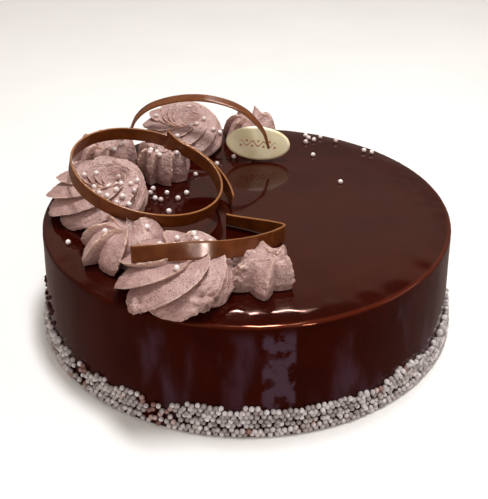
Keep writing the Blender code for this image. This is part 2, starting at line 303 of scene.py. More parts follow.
@dataclass(frozen=True)
class MirrorGlaze:
    """Dark chocolate mirror glaze of cocoa, syrup and gelatine, poured over the cake.

    It sets to a glassy skin: nearly black red-brown, redder where it runs thin over the
    rim; towards the right that redder rim is also a painted reflection. On the side,
    purple-grey runs are partly bloom and partly a painted reflection, and the broad streak
    in front is a painted reflection. Depths count down from the cake's top.
    """

    deep: str = "#260401"
    cloudy: str = "#310803"
    # Thin glaze over the rim; on the right this red is also a painted reflection.
    thin: str = "#4A1A0E"
    # Purple-grey on the side: partly bloom, partly a painted reflection.
    bloom_and_reflection: str = "#4B3947"
    gloss_tint: str = "#FF9D74"
    ior: float = 1.35
    roughness: float = 0.06
    ripple: float = 22.0
    ripple_height: float = 0.12
    rim_radii: tuple = (97.5, 99.0)
    rim_depths: tuple = (3.0, 1.6)
    # Where the red rim, partly a painted reflection, fades in from left to right.
    reflecting_rim_side: tuple = (-70.0, 50.0)
    run: float = 15.0
    run_squeeze: float = 0.3
    # A painted reflection: a broad streak down the front of the side.
    reflection_streak_way: float = -82.5
    reflection_streak_width: float = 4.5
    reflection_streak_mottle: float = 7.0
    bloom_and_reflection_depths: tuple = (2.0, 9.0)

    def thinness(self, tree: bpy.types.NodeTree, place: Socket, axes: Sequence[Socket]) -> Socket:
        """Find where the rim is painted redder: thin glaze along the rim, more and more to the
        right, where the red is also a painted reflection.

        Args:
            tree: The glaze's nodes.
            place: The place on the cake.
            axes: The same place as X, Y and Z.

        Returns:
            The share of thin glaze and painted reflection, from 0 to 1.
        """
        flat = add_node(
            tree, "VectorMath", {0: place, 1: (1.0, 1.0, 0.0)}, operation="MULTIPLY"
        )
        reach = add_node(tree, "VectorMath", {0: flat.outputs[0]}, operation="LENGTH")
        inner, outer = self.rim_radii
        rim = add_node(
            tree,
            "MapRange",
            {"Value": reach.outputs["Value"], "From Min": inner * MM, "From Max": outer * MM},
            interpolation_type="SMOOTHSTEP",
        )
        low, high = ((CAKE_TOP - depth) * MM for depth in self.rim_depths)
        upper = add_node(
            tree,
            "MapRange",
            {"Value": axes["Z"], "From Min": low, "From Max": high},
            interpolation_type="SMOOTHSTEP",
        )
        edge = add_node(
            tree, "Math", {0: rim.outputs[0], 1: upper.outputs[0]}, operation="MULTIPLY"
        )
        # Keep the red towards the right, where it stands for a painted reflection.
        left, right = self.reflecting_rim_side
        poured = add_node(
            tree,
            "MapRange",
            {"Value": axes["X"], "From Min": left * MM, "From Max": right * MM},
            interpolation_type="SMOOTHSTEP",
        )
        thinned = add_node(
            tree, "Math", {0: edge.outputs[0], 1: poured.outputs[0]}, operation="MULTIPLY"
        )
        return thinned.outputs[0]

    def streak(self, tree: bpy.types.NodeTree, place: Socket, axes: Sequence[Socket]) -> Socket:
        """Paint the broad, broken purple-grey streak in front, which is a painted reflection.

        Args:
            tree: The glaze's nodes.
            place: The place on the cake.
            axes: The same place as X, Y and Z.

        Returns:
            The share of painted reflection from 0 to 1.
        """
        turned = add_node(tree, "Math", {0: axes["Y"], 1: axes["X"]}, operation="ARCTAN2")
        off = add_node(
            tree,
            "Math",
            {0: turned.outputs[0], 1: math.radians(self.reflection_streak_way)},
            operation="SUBTRACT",
        )
        away = add_node(tree, "Math", {0: off.outputs[0]}, operation="ABSOLUTE")
        width = math.radians(self.reflection_streak_width)
        near = add_node(
            tree,
            "MapRange",
            {"Value": away.outputs[0], "From Min": width, "From Max": 0.75 * width},
            interpolation_type="SMOOTHSTEP",
        )
        mottle = add_node(
            tree,
            "TexNoise",
            {"Vector": place, "Scale": spaced(self.reflection_streak_mottle), "Detail": 5.0},
        )
        broken = add_node(
            tree,
            "MapRange",
            {"Value": mottle.outputs["Fac"], "From Min": 0.44, "From Max": 0.56, "To Max": 0.75},
            interpolation_type="SMOOTHSTEP",
        )
        streak = add_node(
            tree, "Math", {0: near.outputs[0], 1: broken.outputs[0]}, operation="MULTIPLY"
        )
        return streak.outputs[0]

    def bloom_and_reflection_share(
        self, tree: bpy.types.NodeTree, place: Socket, axes: Sequence[Socket]
    ) -> Socket:
        """Lay purple-grey on the side: thin runs all round, partly bloom and partly a painted
        reflection, and one broad streak in front, which is a painted reflection.

        Args:
            tree: The glaze's nodes.
            place: The place on the cake.
            axes: The same place as X, Y and Z.

        Returns:
            The share of bloom and painted reflection from 0 to 1.
        """
        runs = add_node(
            tree, "Mapping", {"Vector": place, "Scale": (1.0, 1.0, self.run_squeeze)}
        )
        cloud = add_node(
            tree,
            "TexNoise",
            {"Vector": runs.outputs[0], "Scale": spaced(self.run), "Detail": 5.0},
        )
        patches = add_node(
            tree,
            "MapRange",
            {"Value": cloud.outputs["Fac"], "From Min": 0.52, "From Max": 0.74, "To Max": 0.5},
            interpolation_type="SMOOTHSTEP",
        )
        either = add_node(
            tree,
            "Math",
            {0: patches.outputs[0], 1: self.streak(tree, place, axes)},
            operation="MAXIMUM",
        )
        top, full = ((CAKE_TOP - depth) * MM for depth in self.bloom_and_reflection_depths)
        below = add_node(
            tree,
            "MapRange",
            {"Value": axes["Z"], "From Min": top, "From Max": full},
            interpolation_type="SMOOTHSTEP",
        )
        share = add_node(
            tree, "Math", {0: either.outputs[0], 1: below.outputs[0]}, operation="MULTIPLY"
        )
        return share.outputs[0]

    def build(self) -> Material:
        """Make the glaze."""
        material, tree, place = new_material("dark_chocolate_mirror_glaze")
        cloud = add_node(
            tree, "TexNoise", {"Vector": place, "Scale": spaced(self.ripple), "Detail": 3.0}
        )
        shade = add_node(
            tree, "ValToRGB", {"Fac": cloud.outputs["Fac"]}, ((0.35, self.deep), (0.75, self.cloudy))
        )
        axes = add_node(tree, "SeparateXYZ", {0: place}).outputs
        rimmed = add_node(
            tree,
            "Mix",
            {
                "Factor": self.thinness(tree, place, axes),
                "A": shade.outputs["Color"],
                "B": linear(self.thin),
            },
            data_type="RGBA",
        )
        # Mix in the side's bloom and painted reflection.
        colour = add_node(
            tree,
            "Mix",
            {
                "Factor": self.bloom_and_reflection_share(tree, place, axes),
                "A": rimmed.outputs["Result"],
                "B": linear(self.bloom_and_reflection),
            },
            data_type="RGBA",
        )
        smear = add_node(tree, "TexNoise", {"Vector": place, "Scale": spaced(9.0), "Detail": 4.0})
        dull = add_node(
            tree,
            "MapRange",
            {
                "Value": smear.outputs["Fac"],
                "From Min": 0.45,
                "From Max": 0.75,
                "To Min": self.roughness,
                "To Max": self.roughness * 2.6,
            },
        )
        wave = add_node(
            tree, "TexNoise", {"Vector": place, "Scale": spaced(self.ripple * 0.5), "Detail": 1.0}
        )
        bump = add_node(
            tree,
            "Bump",
            {
                "Height": wave.outputs["Fac"],
                "Strength": 0.35,
                "Distance": self.ripple_height * MM,
            },
        )
        feed(tree, tree.nodes["Principled BSDF"], {
            "Base Color": colour.outputs["Result"],
            "Roughness": dull.outputs[0],
            "Normal": bump.outputs[0],
            "IOR": self.ior,
            "Specular Tint": linear(self.gloss_tint),
        })
        return material


@dataclass(frozen=True)
class WhippedCream:
    """Chocolate butter cream, beaten with air and piped through a star nozzle.

    The air leaves pores and a dull, soft skin. Fine cocoa grains stay dark in it.
    """

    light: str = "#BA968E"
    dark: str = "#A07B75"
    # Pale crest colour: partly dried edges, partly a painted highlight.
    crest: str = "#E2BFAC"
    cocoa: str = "#573029"
    ior: float = 1.45
    roughness: float = 0.55
    pore: float = 0.9
    speck: float = 0.62

    def speckled(self, tree: bpy.types.NodeTree, place: Socket, spots: Socket) -> Socket:
        """Colour the cream: clouded, with dark cocoa grains and pale crests, which are partly
        dried edges and partly a painted highlight.

        Args:
            tree: The cream's nodes.
            place: The place on the piece.
            spots: Where the cocoa grains lie.

        Returns:
            The colour.
        """
        cloud = add_node(tree, "TexNoise", {"Vector": place, "Scale": spaced(6.0), "Detail": 4.0})
        tone = add_node(
            tree, "ValToRGB", {"Fac": cloud.outputs["Fac"]}, ((0.3, self.dark), (0.7, self.light))
        )
        grainy = add_node(
            tree,
            "Mix",
            {"Factor": spots, "A": tone.outputs["Color"], "B": linear(self.cocoa)},
            data_type="RGBA",
        )
        # The pale crests: partly dried edges, partly a painted highlight.
        crests = add_node(tree, "Attribute", {}, attribute_name="crest")
        highlighted = add_node(
            tree,
            "Mix",
            {
                "Factor": crests.outputs["Fac"],
                "A": grainy.outputs["Result"],
                "B": linear(self.crest),
            },
            data_type="RGBA",
        )
        return highlighted.outputs["Result"]

    def build(self) -> Material:
        """Make the cream."""
        material, tree, place = new_material("piped_chocolate_cream")
        dots = add_node(
            tree, "TexNoise", {"Vector": place, "Scale": spaced(self.speck), "Detail": 0.0}
        )
        spot = add_node(
            tree,
            "MapRange",
            {"Value": dots.outputs["Fac"], "From Min": 0.675, "From Max": 0.74, "To Max": 0.75},
            interpolation_type="SMOOTHSTEP",
        )
        pores = add_node(
            tree,
            "TexVoronoi",
            {"Vector": place, "Scale": spaced(self.pore), "Smoothness": 0.4, "Randomness": 1.0},
            feature="SMOOTH_F1",
        )
        pit = add_node(
            tree,
            "MapRange",
            {"Value": pores.outputs["Distance"], "From Min": 0.05, "From Max": 0.45},
            interpolation_type="SMOOTHSTEP",
        )
        pitted = add_node(
            tree, "Bump", {"Height": pit.outputs[0], "Strength": 0.45, "Distance": 0.3 * MM}
        )
        fine = add_node(tree, "TexNoise", {"Vector": place, "Scale": spaced(1.1), "Detail": 5.0})
        layers = (
            ({"Height": fine.outputs["Fac"], "Distance": 0.6 * MM}, False),
            ({"Height": spot.outputs[0], "Distance": 0.4 * MM}, True),
        )
        skin = pitted
        for inputs, sunk in layers:
            inputs["Strength"] = 0.9
            inputs["Normal"] = skin.outputs[0]
            skin = add_node(tree, "Bump", inputs, invert=sunk)
        feed(tree, tree.nodes["Principled BSDF"], {
            "Base Color": self.speckled(tree, place, spot.outputs[0]),
            "Roughness": self.roughness,
            "Normal": skin.outputs[0],
            "IOR": self.ior,
            "Subsurface Weight": 0.15,
            "Subsurface Radius": (1.0, 0.6, 0.5),
            "Subsurface Scale": 1.2 * MM,
        })
        return material


@dataclass(frozen=True)
class TemperedChocolate:
    """Tempered milk chocolate, spread on a strip of film and curled before it set.

    The film side is satin and even. The trimmed edges are paler, matt and a little crumbly,
    and their paler colour is also a painted highlight.
    """

    face: str = "#6E3A16"
    dark: str = "#5C2D0F"
    # Paler edge colour: matt cut chocolate, and a painted highlight on the edges.
    edge: str = "#8E5C34"
    gloss_tint: str = "#EED6CB"
    ior: float = 1.46
    roughness: float = 0.19

    def build(self) -> Material:
        """Make the ribbon chocolate."""
        material, tree, place = new_material("tempered_milk_chocolate")
        cloud = add_node(tree, "TexNoise", {"Vector": place, "Scale": spaced(5.0), "Detail": 4.0})
        tone = add_node(
            tree, "ValToRGB", {"Fac": cloud.outputs["Fac"]}, ((0.35, self.dark), (0.65, self.face))
        )
        # Paler edges: matt cut chocolate and a painted highlight.
        edge_and_highlight = add_node(tree, "Attribute", {}, attribute_name="edge")
        colour = add_node(
            tree,
            "Mix",
            {
                "Factor": edge_and_highlight.outputs["Fac"],
                "A": tone.outputs["Color"],
                "B": linear(self.edge),
            },
            data_type="RGBA",
        )
        smear = add_node(tree, "TexNoise", {"Vector": place, "Scale": spaced(2.0), "Detail": 3.0})
        dull = add_node(
            tree,
            "MapRange",
            {
                "Value": smear.outputs["Fac"],
                "To Min": self.roughness * 0.7,
                "To Max": self.roughness * 1.5,
            },
        )
        bump = add_node(
            tree, "Bump", {"Height": smear.outputs["Fac"], "Strength": 0.2, "Distance": 0.1 * MM}
        )
        feed(tree, tree.nodes["Principled BSDF"], {
            "Base Color": colour.outputs["Result"],
            "Roughness": dull.outputs[0],
            "Normal": bump.outputs[0],
            "IOR": self.ior,
            "Specular Tint": linear(self.gloss_tint),
        })
        return material


@dataclass(frozen=True)
class WhiteChocolate:
    """White chocolate, cast in a shallow oval mould.

    Cocoa butter makes it creamy yellow, with a soft sheen and slightly see-through edges.
    """

    light: str = "#F3E9C6"
    dark: str = "#E9DCAE"
    ior: float = 1.46
    roughness: float = 0.38

    def build(self) -> Material:
        """Make the plaque's chocolate."""
        material, tree, place = new_material("cast_white_chocolate")
        cloud = add_node(tree, "TexNoise", {"Vector": place, "Scale": spaced(7.0), "Detail": 4.0})
        tone = add_node(
            tree, "ValToRGB", {"Fac": cloud.outputs["Fac"]}, ((0.35, self.dark), (0.65, self.light))
        )
        fine = add_node(tree, "TexNoise", {"Vector": place, "Scale": spaced(1.2), "Detail": 3.0})
        bump = add_node(
            tree, "Bump", {"Height": fine.outputs["Fac"], "Strength": 0.2, "Distance": 0.1 * MM}
        )
        feed(tree, tree.nodes["Principled BSDF"], {
            "Base Color": tone.outputs["Color"],
            "Roughness": self.roughness,
            "Normal": bump.outputs[0],
            "IOR": self.ior,
            "Subsurface Weight": 0.2,
            "Subsurface Radius": (1.0, 0.8, 0.4),
            "Subsurface Scale": 1.5 * MM,
        })
        return material


@dataclass(frozen=True)
class PrintedCocoa:
    """Coloured cocoa butter, printed on the plaque: thin, flat and reddish brown."""

    full: str = "#B5694A"
    worn: str = "#CC9170"
    roughness: float = 0.5

    def build(self) -> Material:
        """Make the print."""
        material, tree, place = new_material("printed_cocoa_butter")
        cloud = add_node(tree, "TexNoise", {"Vector": place, "Scale": spaced(1.5), "Detail": 3.0})
        tone = add_node(
            tree, "ValToRGB", {"Fac": cloud.outputs["Fac"]}, ((0.3, self.full), (0.8, self.worn))
        )
        feed(tree, tree.nodes["Principled BSDF"], {
            "Base Color": tone.outputs["Color"],
            "Roughness": self.roughness,
        })
        return material


@dataclass(frozen=True)
class PolishedSugar:
    """Sugar pearls, turned in a pan with syrup and starch: off-white with a soft shine."""

    coat: PearlCoat
    ior: float = 1.5
    roughness: float = 0.4

    def build(self) -> Material:
        """Make the pearls' coat, each pearl in a shade of its own."""
        material, tree, _ = new_material("pan_polished_sugar_" + self.coat.name.lower())
        light, dark = self.coat.value
        tone = add_node(tree, "Attribute", {}, attribute_name="tone")
        shade = add_node(tree, "ValToRGB", {"Fac": tone.outputs["Fac"]}, ((0.0, dark), (1.0, light)))
        feed(tree, tree.nodes["Principled BSDF"], {
            "Base Color": shade.outputs["Color"],
            "Roughness": self.roughness,
            "IOR": self.ior,
            "Subsurface Weight": 0.15,
            "Subsurface Radius": (1.0, 0.9, 0.9),
            "Subsurface Scale": 0.6 * MM,
        })
        return material


# Glazed body


@dataclass
class GlazedBody:
    """The cake under its glaze, turned about the vertical axis and slightly uneven."""

    glaze: Material
    height: float = CAKE_TOP
    top_radius: float = 100.0
    foot_radius: float = 102.4
    pool_radius: float = 103.8
    pool_height: float = 3.0
    rim_rounding: float = 2.0
    shoulder_width: float = 9.0
    shoulder_drop: float = 0.9
    flat_rings: int = 24
    shoulder_rings: int = 9
    rim_rings: int = 10
    side_rings: int = 20
    around: int = 360
    unevenness: float = 0.16
    calm_foot: float = 8.0
    wavy_from: float = 80.0
    wavy_over: float = 15.0
    rim_swell: float = 3.2

    @property
    def rim_height(self) -> float:
        """Return the height where the shoulder turns over the rim."""
        return self.height - self.shoulder_drop

    def side_radius(self, height: float) -> float:
        """Return the radius of the side at a height above the pooled foot."""
        rise = height - self.pool_height
        rise /= self.rim_height - self.rim_rounding - self.pool_height
        return self.foot_radius + (self.top_radius - self.foot_radius) * max(rise, 0.0)

    def outline(self) -> list[tuple[float, float]]:
        """Return the radius and height from near the top's middle down to the bottom edge."""
        rim = self.top_radius - self.rim_rounding
        flat = rim - self.shoulder_width
        points = []
        for step in range(1, self.flat_rings + 1):
            points.append((flat * math.sqrt(step / self.flat_rings), self.height))
        for step in range(1, self.shoulder_rings):
            share = step / self.shoulder_rings
            drop = self.shoulder_drop * share**2
            points.append((flat + self.shoulder_width * share, self.height - drop))
        for step in range(self.rim_rings + 1):
            angle = math.radians(90.0 * (1.0 - step / self.rim_rings))
            drop = self.rim_rounding * (1.0 - math.sin(angle))
            points.append((rim + self.rim_rounding * math.cos(angle), self.rim_height - drop))
        start = self.rim_height - self.rim_rounding
        for step in range(1, self.side_rings + 1):
            level = start + (self.pool_height - start) * step / self.side_rings
            points.append((self.side_radius(level), level))
        points.append((self.pool_radius - 0.5, self.pool_height * 0.75))
        points.append((self.pool_radius, self.pool_height * 0.4))
        points.append((self.pool_radius, 0.0))
        return points

    def wander(self, spot: Vector, way: Vector) -> Vector:
        """Move a point of the skin: long runs down the side, soft waves near the rim."""
        side = ease((self.height - spot.z - self.shoulder_drop * 0.5) / self.rim_rounding)
        foot = ease(spot.z / self.calm_foot)
        runs = rough(Vector((spot.x, spot.y, spot.z * 0.22)), 11.0, 3.1)
        runs += 0.5 * rough(Vector((spot.x, spot.y, spot.z * 0.4)), 4.5, 8.6)
        near_rim = fade(math.hypot(spot.x, spot.y), self.wavy_from, self.wavy_over)
        swell = rough(spot, 26.0, 7.7) + 1.0
        swell += self.rim_swell * near_rim * (rough(spot, 9.0, 2.4) + 1.0)
        moved = spot - way * self.unevenness * (runs + 1.2) * side * foot
        moved.z -= self.unevenness * 0.5 * swell * (1.0 - side)
        return moved

    def build(self) -> Piece:
        """Turn the outline and let the poured skin wander a little."""
        points = [Vector((0.0, 0.0, self.height))]
        outline = self.outline()
        for radius, level in outline:
            for number in range(self.around):
                angle = math.tau * number / self.around
                way = Vector((math.cos(angle), math.sin(angle), 0.0))
                spot = way * radius + Vector((0.0, 0.0, level))
                points.append(self.wander(spot, way))
        count = self.around
        faces = []
        for number, after in rounds(count):
            faces.append((0, 1 + number, 1 + after))
            for ring in range(len(outline) - 1):
                upper = 1 + ring * count
                lower = upper + count
                faces.append((upper + number, lower + number, lower + after, upper + after))
        last = 1 + (len(outline) - 1) * count
        faces.append(tuple(last + number for number in reversed(range(count))))
        return piece_from("glazed_body", points, faces, self.glaze, Slot.GLAZE, ("cake",))


# Sugar pearls


@dataclass
class PearlHeap:
    """Many pearls of one kind, joined into one mesh."""

    name: str
    sugar: Material
    radius: float
    smoothness: int = 2
    sizes: tuple = (0.9, 1.04)
    flatness: float = 0.08
    slot: Slot = Slot.WHITE_CHOCOLATE

    def build(self, places: Sequence[Vector], chance: random.Random) -> Piece:
        """Put a slightly different ball at every place.

        Args:
            places: Where the pearls' middles are.
            chance: The seeded source of their small differences.

        Returns:
            The joined piece.
        """
        pattern = bmesh.new()
        bmesh.ops.create_icosphere(pattern, subdivisions=self.smoothness, radius=1.0)
        shape = [vertex.co.copy() for vertex in pattern.verts]
        facets = [tuple(vertex.index for vertex in face.verts) for face in pattern.faces]
        pattern.free()
        points = []
        faces = []
        tones = []
        for place in places:
            start = len(points)
            radius = self.radius * chance.uniform(*self.sizes)
            turn = Matrix.Rotation(chance.uniform(0.0, math.tau), 3, Vector((1.0, 0.4, 0.7)))
            squeeze = 1.0 - chance.uniform(0.0, self.flatness)
            tone = chance.uniform(0.0, 1.0)
            for point in shape:
                ball = Vector((point.x, point.y, point.z * squeeze)) * radius
                points.append(place + turn @ ball)
                tones.append(tone)
            faces.extend(tuple(start + index for index in facet) for facet in facets)
        piece = piece_from(self.name, points, faces, self.sugar, self.slot)
        note(piece, "tone", tones)
        return piece


@dataclass(frozen=True)
class ThinSpot:
    """A stretch of the band where pearls are few and the glaze has run over them."""

    way: float
    width: float
    share: float


@dataclass
class PearlBand:
    """The band of pearls pressed into the foot of the side."""

    body: GlazedBody
    # The unstained band pearls' coat is the darker one, a painted shade.
    clean: Material
    stained: Material
    pearl: float = 1.27
    spacing: float = 2.52
    rise: float = 13.4
    waver: float = 3.2
    outermost: float = 105.3
    row_step: float = 0.87
    turn_jitter: float = 0.0028
    level_jitter: float = 0.28
    stand_off: tuple = (0.25, 0.85)
    lowest: float = 1.05
    clearance: float = 1.04
    pool_ledge: float = 1.0
    bare_drop: float = 3.0
    bare_loss: float = 0.7
    stray_share: float = 0.02
    seed: int = 11
    thin_spots: tuple = (
        ThinSpot(-138.0, 7.0, 0.6),
        ThinSpot(-113.0, 7.0, 0.6),
        ThinSpot(-177.0, 7.0, 0.6),
        ThinSpot(35.0, 8.0, 0.5),
        ThinSpot(118.0, 7.0, 0.5),
    )

    def thinness(self, way: float) -> float:
        """Return how far the band is thinned at an angle in degrees, from 0 to 1."""
        most = 0.0
        for spot in self.thin_spots:
            off = abs((way - spot.way + 180.0) % 360.0 - 180.0)
            most = max(most, spot.share * (1.0 - ease(off / spot.width)))
        return most

    def top_at(self, angle: float) -> float:
        """Return the height of the band's uneven upper edge."""
        around = Vector((math.cos(angle), math.sin(angle), 0.0)) * self.body.foot_radius
        return self.rise + self.waver * (rough(around, 16.0, 1.3) + 0.7 * rough(around, 5.0, 4.2))

    def places(self, chance: random.Random) -> tuple[list[Vector], list[Vector]]:
        """Lay the pearls in staggered rows and shake them.

        Args:
            chance: The seeded source of the unevenness.

        Returns:
            The places of the clean pearls and of the stained ones.
        """
        clean = []
        stained = []
        rows = int((self.rise + 2.0 * self.waver) / (self.spacing * self.row_step)) + 1
        count = round(math.tau * self.body.foot_radius / self.spacing)
        for row in range(rows):
            for number in range(count):
                angle = math.tau * (number + 0.5 * (row % 2)) / count
                angle += chance.gauss(0.0, self.turn_jitter)
                level = self.pearl + row * self.spacing * self.row_step
                level += chance.gauss(0.0, self.level_jitter)
                level = max(level, self.pearl * self.lowest)
                bare = self.thinness(math.degrees(angle))
                top = self.top_at(angle) - bare * self.bare_drop
                if level > top or chance.random() < bare * self.bare_loss:
                    continue
                radius = self.body.side_radius(level)
                radius += self.pearl * chance.uniform(*self.stand_off)
                if level < self.body.pool_height + self.pearl:
                    radius += self.pool_ledge
                radius = min(radius, self.outermost - self.pearl * self.clearance)
                dirty = chance.random() < bare + self.stray_share
                (stained if dirty else clean).append(polar(radius, angle, level))
        return clean, stained

    def build(self) -> list[Piece]:
        """Make both kinds of pearls."""
        chance = random.Random(self.seed)
        clean, stained = self.places(chance)
        return [
            PearlHeap("pearl_band", self.clean, self.pearl).build(clean, chance),
            PearlHeap("pearl_band_stained", self.stained, self.pearl).build(stained, chance),
        ]


@dataclass
class GlazedCrumbs:
    """A few pearls that stuck higher up the side and went under the glaze."""

    body: GlazedBody
    glaze: Material
    clusters: tuple = ((-159.0, 19.0, 11), (-176.0, 22.0, 7), (-168.0, 24.0, 5))
    turn_spread: float = 2.8
    level_spread: float = 3.6
    pearl: float = 1.15
    seed: int = 4

    def build(self) -> Piece:
        """Make the crumbs as one piece, half sunk in the side."""
        chance = random.Random(self.seed)
        places = []
        for way, level, count in self.clusters:
            for _ in range(count):
                angle = math.radians(way + chance.gauss(0.0, self.turn_spread))
                height = level + chance.gauss(0.0, self.level_spread)
                places.append(polar(self.body.side_radius(height), angle, height))
        heap = PearlHeap("glazed_crumbs", self.glaze, self.pearl, slot=Slot.GLAZE)
        return heap.build(places, chance)


# Piped cream


@dataclass(frozen=True)
class Swirl:
    """One piped piece of cream.

    The ridges start at `turn` and wind by `twist` on the way to the top. The top rim
    lies at the share `rim` of the radius, the middle inside it is sunk by `hollow`, and
    each ridge ends in a small peak there. A low `swell` makes the side steep and full.
    The top is moved by `tip`, and the foot reaches out by the share `reach` in the
    direction `reach_way`. The top slopes down to the front by the share `tilt`, and
    `coil` winds the ridges on inside the rim. A `folded` piece has flat faces between
    its crests. `torn` are patches of ragged skin, each with a place beside the centre
    and its radius, and `pearls` are places beside the centre.
    """

    name: str
    centre: tuple
    radius: float
    height: float
    ridges: int
    turn: float
    twist: float
    tip: tuple = (0.0, 0.0)
    rim: float = 0.55
    hollow: float = 4.0
    peak: float = 2.0
    swell: float = 0.7
    depth: float = 0.26
    reach: float = 0.0
    reach_way: float = 0.0
    tilt: float = 0.0
    coil: float = 0.0
    folded: bool = False
    torn: tuple = ()
    pearls: tuple = ()

    @property
    def node(self) -> str:
        """Return the name of the solid that the piece stands for."""
        return "cream_" + self.name


SWIRLS = (
    Swirl(
        "star_back", (2.0, 77.0), 16.0, 15.0, 7, 10.0, 30.0,
        tip=(2.0, 0.0), rim=0.5, hollow=3.0, peak=2.6,
    ),
    Swirl(
        "rosette_back", (-36.5, 71.0), 24.5, 16.5, 7, 0.0, 230.0,
        tip=(-1.0, 3.0), rim=0.5, hollow=4.5, peak=1.2, depth=0.18, tilt=0.2, coil=70.0,
        pearls=((-14, 1), (9, -6), (6, -9), (-1, -17), (13, -2), (18, -7), (21, -3)),
    ),
    Swirl(
        "star_inner", (-44.0, 33.0), 14.8, 16.5, 8, 20.0, 20.0,
        rim=0.62, pearls=((-2, -7), (-5, -8), (0, -9), (8, -6), (-6, -2), (-4, 2), (6, 4)),
    ),
    Swirl(
        "star_rim", (-75.0, 37.0), 17.0, 18.0, 8, 5.0, 25.0,
        tip=(2.0, -1.0), rim=0.6, peak=2.6, pearls=((-4, -9), (7, -9), (10, -6)),
    ),
    Swirl(
        "rosette_left", (-73.5, -3.0), 25.5, 17.0, 7, 44.0, 190.0,
        tip=(7.0, 3.0), rim=0.5, hollow=6.0, peak=1.0, depth=0.18, tilt=0.12, coil=120.0,
        pearls=(
            (4, -14), (1, -10), (8, -16), (12, -12), (14, -8),
            (15, -14), (18, -6), (7, 0), (-6, 3), (-1, 8),
            (7, -4), (11, 4), (11, -1), (20, -10), (21, -4), (12.5, -17), (17.5, -16), (10, -19),
        ),
    ),
    Swirl(
        "star_left_front", (-55.5, -46.0), 20.0, 13.6, 7, 8.0, 35.0,
        tip=(2.0, 1.0), rim=0.38, hollow=2.0, peak=2.0, swell=0.75,
        pearls=((11, 0), (-6, -7)),
    ),
    Swirl(
        "rosette_front", (-31.0, -73.0), 25.5, 15.8, 7, 24.0, 165.0,
        tip=(7.0, 6.0), rim=0.42, hollow=4.0, peak=2.0, depth=0.2, reach=0.05, reach_way=-75.0,
        torn=((15.0, -17.0, 5.0, 11.0), (-14.0, -18.0, 3.0, 6.0)),
        pearls=((1, 13), (-6, 8), (9, 12), (12, 9), (16, 8), (8, 15), (3, -12)),
    ),
    Swirl(
        "star_front_right", (5.5, -68.0), 15.0, 12.8, 6, -84.0, 8.0,
        tip=(6.5, 0.5), rim=0.52, hollow=2.0, peak=1.8, swell=0.9, depth=0.3, reach=0.15,
        reach_way=-80.0,
        folded=True, torn=((-11.0, -4.0, 7.0, 10.0), (6.0, 3.0, 13.0, 4.0)),
    ),
)

# Cream that was piped first gives way to the piece that was piped against it
GIVES_WAY = {
    "star_rim": ("rosette_left",),
    "rosette_left": ("star_left_front",),
    "star_left_front": ("rosette_front",),
    "star_front_right": ("rosette_front",),
    "star_inner": ("star_rim", "rosette_left"),
    "star_back": ("rosette_back",),
}


